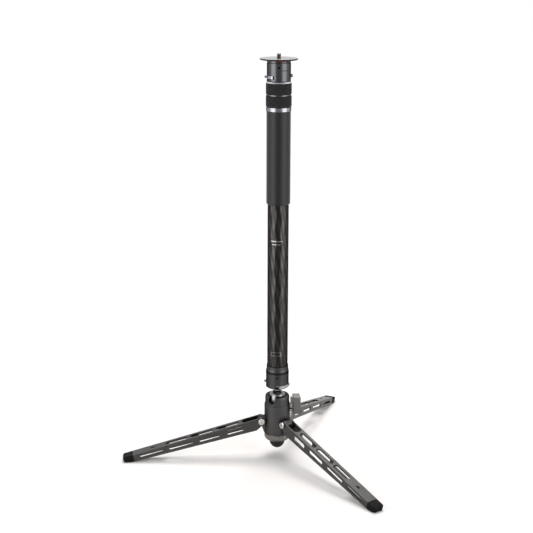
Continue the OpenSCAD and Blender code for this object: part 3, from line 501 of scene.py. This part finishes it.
upper_socket_edge = 0.0001
turned_low = (0.075, 0.076, 0.081)
turned_high = (0.098, 0.099, 0.104)
lip_h = 0.0013
lip_blur = lip_h / 6
lip_black = (0.042, 0.042, 0.044)
recess_shade_depth = 0.0002    # what lies deeper than this is painted dark: painted shade in the groove, slot and bore
recess_shade_blur = recess_shade_depth / 2
painted_recess_shade = (0.008, 0.008, 0.008)
turned = turned_alloy("black_turned", turned_low, turned_high, roughness=0.30)
turned.dress("index_ring")
lipped = turned_alloy("lipped_turned", turned_low, turned_high, roughness=0.28)
socket_low, socket_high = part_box("upper_qr_body")
lip_over = lipped.axis("Z").above(socket_low.z + lip_h, lip_blur)
lipped_colour = lipped.mix(lip_over, low=lip_black, high=lipped.colour)
lipped_x = lipped.axis("X")
lipped_y = lipped.axis("Y")
lipped_r = (lipped_x * lipped_x + lipped_y * lipped_y).root()
# Painted shade: the socket's groove, slot and bore, below its outer surface, are painted near black.
lipped_outside = lipped_r.above(socket_high.x - recess_shade_depth, recess_shade_blur)
lipped.set({"Base Color": lipped.mix(lipped_outside, low=painted_recess_shade, high=lipped_colour)})
eased_copy("upper_qr_body", "head", upper_socket_edge, lipped)


# Levers and buttons of the sockets: milled from alloy and clear-anodised, the levers with a
# faint violet cast. A lever turns in its socket's slot, and a button slides through the wall.
lever_alloy = anodised(
    "lever_alloy", low=(0.34, 0.335, 0.36), high=(0.42, 0.415, 0.44), roughness=0.30)
lever_alloy.dress("lower_qr_lever", "upper_qr_lever")
button_alloy = anodised(
    "button_alloy", low=(0.22, 0.22, 0.23), high=(0.30, 0.30, 0.31), roughness=0.30)
button_alloy.dress("lower_qr_button", "upper_qr_button")


# Button springs: steel coils behind the buttons. Each is shown as an eased copy with a mesh
# of its own.
spring_edge = 0.00003
for spring_level, spring_body in (("lower", "column"), ("upper", "head")):
    spring_node = spring_level + "_button_spring"
    spring = eased_copy(spring_node, spring_body, spring_edge, steel)
    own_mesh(spring)


# Set screws of the sockets: blackened steel, screwed into the wall. The clamp rings inside are
# of plain steel, and the upper one shows in the lever's slot.
black_steel = anodised(
    "blackened_steel", low=(0.012, 0.012, 0.013), high=(0.022, 0.022, 0.023), roughness=0.5)
black_steel.dress("lower_set_screw", "upper_set_screw")
steel.dress("lower_clamp_ring", "upper_clamp_ring")


# Carbon tubes: tapes of carbon fibre braided in steep spirals under clear lacquer. The middle
# and the inner section slide in the outer one, and show only where they are drawn out.
tape_pitch = 0.038
tape_starts = 13
right_turns = 0.8       # turns of a right-leaning tape to one turn of a left-leaning one
tape_sway = 0.9
tape_shine = 0.30
crossing_shine = 0.95
fibre_rise = 0.2


def carbon_lay(name):
    """Braided carbon under lacquer; its direction round the tube and its colour are kept for a print."""
    finish = Finish(name, {"Metallic": 1.0, "Specular Tint": (0.4, 0.4, 0.4)})
    along_y = finish.axis("Y")
    finish.turn = along_y.maths("ARCTAN2", along_y, finish.axis("X")) / math.tau
    height = finish.axis("Z") / tape_pitch
    sway = finish.noise(scale=16, stretch=(1, 1, 1.5)) * tape_sway
    left_tape = ((finish.turn * tape_starts + height + sway) * math.tau).wave()
    right_tape = ((finish.turn * tape_starts - height * right_turns + sway) * math.tau).wave()
    fibres = finish.noise(scale=1500, detail=3, stretch=(1, 1, 0.04))
    crossing = left_tape * right_tape
    shine = (crossing * crossing_shine + left_tape * tape_shine) * fibres.between(0.65, 1.15)
    finish.colour = finish.mix(shine, low=(0.029, 0.028, 0.028), high=(0.064, 0.056, 0.053))
    finish.set({"Base Color": finish.colour})
    finish.set({"Roughness": fibres.between(0.20, 0.36)})
    finish.bump(left_tape - right_tape + fibres * fibre_rise, strength=0.13, distance=0.0012)
    return finish


carbon_lay("carbon_sections").dress("mid_tube", "inner_tube")


# Print on the outer tube: thin pale ink under the lacquer. It is plain: two bars half-way up the
# tube, and an empty frame of thin lines near its lower end.
print_turn = -0.278
print_blur = 0.0004
print_pale = (0.34, 0.34, 0.34)
bar_ink = 0.75
frame_ink = 0.5
outer_carbon = carbon_lay("carbon_outer")


def printed(low, high, half_turn):
    """A mask over a patch of the tube's front between two heights."""
    height = outer_carbon.axis("Z")
    off_centre = outer_carbon.turn.maths("ABSOLUTE", outer_carbon.turn - print_turn)
    upright = height.above(low, print_blur) * (1 - height.above(high, print_blur))
    return upright * (1 - off_centre.above(half_turn, print_blur))


upper_bar = printed(low=0.3541, high=0.3559, half_turn=0.092)
lower_bar = printed(low=0.3492, high=0.3507, half_turn=0.066)
frame_outside = printed(low=0.1712, high=0.1774, half_turn=0.085)
frame_inside = printed(low=0.1719, high=0.1767, half_turn=0.078)
pale_print = (upper_bar + lower_bar) * bar_ink + (frame_outside - frame_inside) * frame_ink
outer_colour = outer_carbon.mix(pale_print, low=outer_carbon.colour, high=print_pale)
outer_carbon.set({"Base Color": outer_colour})
outer_carbon.dress("outer_tube")


# Foam grip: a sleeve of closed-cell foam, charcoal, pulled over the outer tube. Its surface is
# ground, so that fine cells show, and it has a faint sheen.
foam = Finish("charcoal_foam", {"Roughness": 0.45, "Specular IOR Level": 0.32})
foam_cells = foam.noise(scale=1500, detail=3)
foam.set({"Base Color": foam.mix(foam_cells, low=(0.005, 0.005, 0.006), high=(0.013, 0.013, 0.014))})
foam.bump(foam_cells, strength=0.3, distance=0.0003)
foam.dress("foam_grip")


# Bright rings above the grip, between the twist locks and under the upper socket: alloy, turned
# and polished on a lathe. The ring under the upper socket is the brightest.
def polished_metal(name, low, high, edge_tint):
    """Alloy polished on a lathe: a mirror with faint lines round it."""
    finish = Finish(name, {"Metallic": 1.0, "Specular Tint": (edge_tint, edge_tint, edge_tint)})
    lines = finish.noise(scale=500, detail=3, stretch=(0.2, 0.2, 6))
    finish.set({"Base Color": finish.mix(lines, low, high)})
    finish.set({"Roughness": lines.between(0.20, 0.30)})
    return finish


polished_rings = polished_metal(
    "polished_rings", low=(0.25, 0.25, 0.272), high=(0.31, 0.31, 0.332), edge_tint=0.1)
polished_rings.dress("grip_end_ring", "mid_trim_ring")
bright_ring = polished_metal(
    "bright_ring", low=(0.66, 0.66, 0.69), high=(0.78, 0.78, 0.81), edge_tint=0.5)
bright_ring.dress("top_trim_ring")


# Twist-lock sleeves: black rubber moulded with rows of small raised pads, stretched over the
# collars. The two are alike, so the lower one is modelled and the upper one is a copy of it.
sleeve_pads = 40
sleeve_rows = 6
sleeve_wall = 0.0007
pad_gap = 0.00035
pad_rise = 0.00035
pad_sharp = math.radians(20)
sleeve_low, sleeve_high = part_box("lower_lock_sleeve")
sleeve_h = sleeve_high.z - sleeve_low.z
bpy.ops.object.select_all(action="DESELECT")
bpy.ops.mesh.primitive_cylinder_add(
    vertices=sleeve_pads, radius=sleeve_high.x - pad_rise, depth=sleeve_h, end_fill_type="NOTHING",
    location=(0, 0, sleeve_low.z + sleeve_h / 2))
lower_sleeve = bpy.context.object
lower_sleeve.name = "lower_lock_sleeve_padded"
bpy.ops.object.transform_apply(location=True, rotation=True, scale=True)
bpy.ops.object.mode_set(mode="EDIT")
for row in range(1, sleeve_rows):
    bpy.ops.mesh.select_all(action="SELECT")
    row_z = sleeve_low.z + sleeve_h * row / sleeve_rows
    bpy.ops.mesh.bisect(plane_co=(0, 0, row_z), plane_no=(0, 0, 1))
bpy.ops.mesh.select_all(action="SELECT")
bpy.ops.mesh.inset(thickness=pad_gap, depth=pad_rise, use_individual=True)
bpy.ops.object.mode_set(mode="OBJECT")
wall = lower_sleeve.modifiers.new("wall", "SOLIDIFY")
wall.thickness = sleeve_wall
wall.offset = -1
bpy.ops.object.modifier_apply(modifier=wall.name)
bpy.ops.object.shade_smooth_by_angle(angle=pad_sharp)
lower_sleeve.data.materials.append(rubber.material)

upper_sleeve = bpy.data.objects.new("upper_lock_sleeve_padded", lower_sleeve.data.copy())
scene.collection.objects.link(upper_sleeve)
choose(upper_sleeve)
upper_sleeve.location.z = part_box("upper_lock_sleeve")[0].z - sleeve_low.z
bpy.ops.object.transform_apply(location=True, rotation=True, scale=True)
for sleeve, sleeve_node, sleeve_body in (
    (lower_sleeve, "lower_lock_sleeve", "lower_twist_lock"),
    (upper_sleeve, "upper_lock_sleeve", "upper_twist_lock"),
):
    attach(sleeve, sleeve_body)
    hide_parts(sleeve_node)


# Red ring behind the index window: red plastic, moulded, a little glossy. It sits inside the
# index ring under the camera plate, and only the window shows it.
red = Finish("red_moulding", {"Roughness": 0.35})
red_cloud = red.noise(scale=400)
red.set({"Base Color": red.mix(red_cloud, low=(0.11, 0.016, 0.010), high=(0.17, 0.026, 0.016))})
red.dress("red_index_ring")


# Camera plate: a turned alloy disc on top of the index ring, anodised black. Its rim is painted
# near black as painted shade, and its upward face is painted bright, with a mottled tone, as a painted
# highlight.
plate_edge = 0.0002
plate_level = 0.9        # a face is the plate's top where it points up more than this
plate_level_blur = 0.1
painted_rim_shade = (0.010, 0.010, 0.011)
plate_alloy = Finish("plate_alloy", {"Metallic": 1.0})
# Painted light: faces that point up are painted bright and the rest near black, by the surface's
# direction.
plate_normal = plate_alloy.node("NewGeometry", {}, {}, "Normal")
plate_up = plate_alloy.node("SeparateXYZ", {}, {"Vector": plate_normal}, "Z")
painted_lit_top = plate_up.above(plate_level, plate_level_blur)
plate_wear = plate_alloy.noise(scale=900, detail=5)
painted_lit_face = plate_alloy.mix(plate_wear, low=(0.15, 0.147, 0.143), high=(0.34, 0.333, 0.328))
plate_alloy.set({"Base Color": plate_alloy.mix(painted_lit_top, low=painted_rim_shade, high=painted_lit_face)})
plate_alloy.set({"Roughness": plate_wear.between(0.26, 0.36)})
eased_copy("camera_plate", "head", plate_edge, plate_alloy)


# Camera screw: a quarter-inch stud, twenty threads to the inch, in dark bronze.
# One tooth of the thread is swept up in a spiral and cut off flat at both ends.
screw_metal = anodised(
    "bronze_thread", low=(0.10, 0.085, 0.070), high=(0.16, 0.135, 0.11), roughness=0.30)
thread_pitch = 0.00127
thread_root = 0.00255
thread_crest = 0.00312
thread_flat = 0.2 * thread_pitch
thread_turns = 9
thread_steps = 36        # to a turn
crest_share = 0.25       # height of the tooth's crest, as a share of its root's
cut_reach = 0.000001
shank_sides = 48
thread_sharp = math.radians(25)
shank_low, screw_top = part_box("camera_screw")
plate_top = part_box("camera_plate")[1].z
thread_start = plate_top - 2 * thread_pitch
bpy.ops.object.select_all(action="DESELECT")
bpy.ops.mesh.primitive_plane_add(
    size=1, location=((thread_root + thread_crest) / 2, 0, thread_start),
    rotation=(math.radians(90), 0, 0))
camera_screw = bpy.context.object
camera_screw.name = "camera_screw_threaded"
camera_screw.scale = (thread_crest - thread_root, thread_pitch - thread_flat, 1)
bpy.ops.object.transform_apply(location=True, rotation=True, scale=True)


def pick(piece, kind, chosen):
    """Puts a mesh in edit mode with only the chosen vertices or edges selected."""
    bpy.ops.object.mode_set(mode="EDIT")
    bpy.ops.mesh.select_mode(type=kind)
    bpy.ops.mesh.select_all(action="DESELECT")
    bpy.ops.object.mode_set(mode="OBJECT")
    parts = {"VERT": piece.data.vertices, "EDGE": piece.data.edges}
    for part in parts[kind]:
        part.select = chosen(part)
    bpy.ops.object.mode_set(mode="EDIT")


def edge_at(radius):
    """A test for pick: whether an edge of the tooth lies at a distance from the axis."""
    def lies_there(edge):
        ends = [camera_screw.data.vertices[n].co.x for n in edge.vertices]
        return all(abs(end - radius) < thread_flat / 10 for end in ends)
    return lies_there


pick(camera_screw, "EDGE", edge_at(thread_crest))
bpy.ops.transform.resize(value=(1, 1, crest_share))
pick(camera_screw, "EDGE", edge_at(thread_root))
bpy.ops.mesh.delete(type="EDGE")
bpy.ops.object.mode_set(mode="OBJECT")
lowest = min(vertex.co.z for vertex in camera_screw.data.vertices)
pick(camera_screw, "VERT", lambda vertex: vertex.co.z == lowest)
bpy.ops.mesh.extrude_region_move(TRANSFORM_OT_translate={"value": (0, 0, -thread_flat)})
bpy.ops.object.mode_set(mode="OBJECT")
spiral = camera_screw.modifiers.new("spiral", "SCREW")
spiral.screw_offset = thread_pitch
spiral.iterations = thread_turns
spiral.steps = thread_steps
spiral.render_steps = thread_steps
bpy.ops.object.modifier_apply(modifier=spiral.name)
bpy.ops.object.mode_set(mode="EDIT")
bpy.ops.mesh.select_all(action="SELECT")
bpy.ops.mesh.remove_doubles(threshold=thread_flat / 20)
for cut_z, keep_above in ((plate_top - thread_pitch / 2, True), (screw_top.z, False)):
    bpy.ops.mesh.select_all(action="SELECT")
    bpy.ops.mesh.bisect(
        plane_co=(0, 0, cut_z), plane_no=(0, 0, 1), use_fill=True, threshold=cut_reach,
        clear_inner=keep_above, clear_outer=not keep_above)
bpy.ops.mesh.select_all(action="SELECT")
bpy.ops.mesh.normals_make_consistent(inside=False)
shank_h = plate_top - thread_pitch / 4 - shank_low.z
bpy.ops.mesh.primitive_cylinder_add(
    vertices=shank_sides, radius=thread_root, depth=shank_h, location=(0, 0, shank_low.z + shank_h / 2))
bpy.ops.object.mode_set(mode="OBJECT")
bpy.ops.object.shade_smooth_by_angle(angle=thread_sharp)
camera_screw.data.materials.append(screw_metal.material)
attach(camera_screw, "head")
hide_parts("camera_screw")
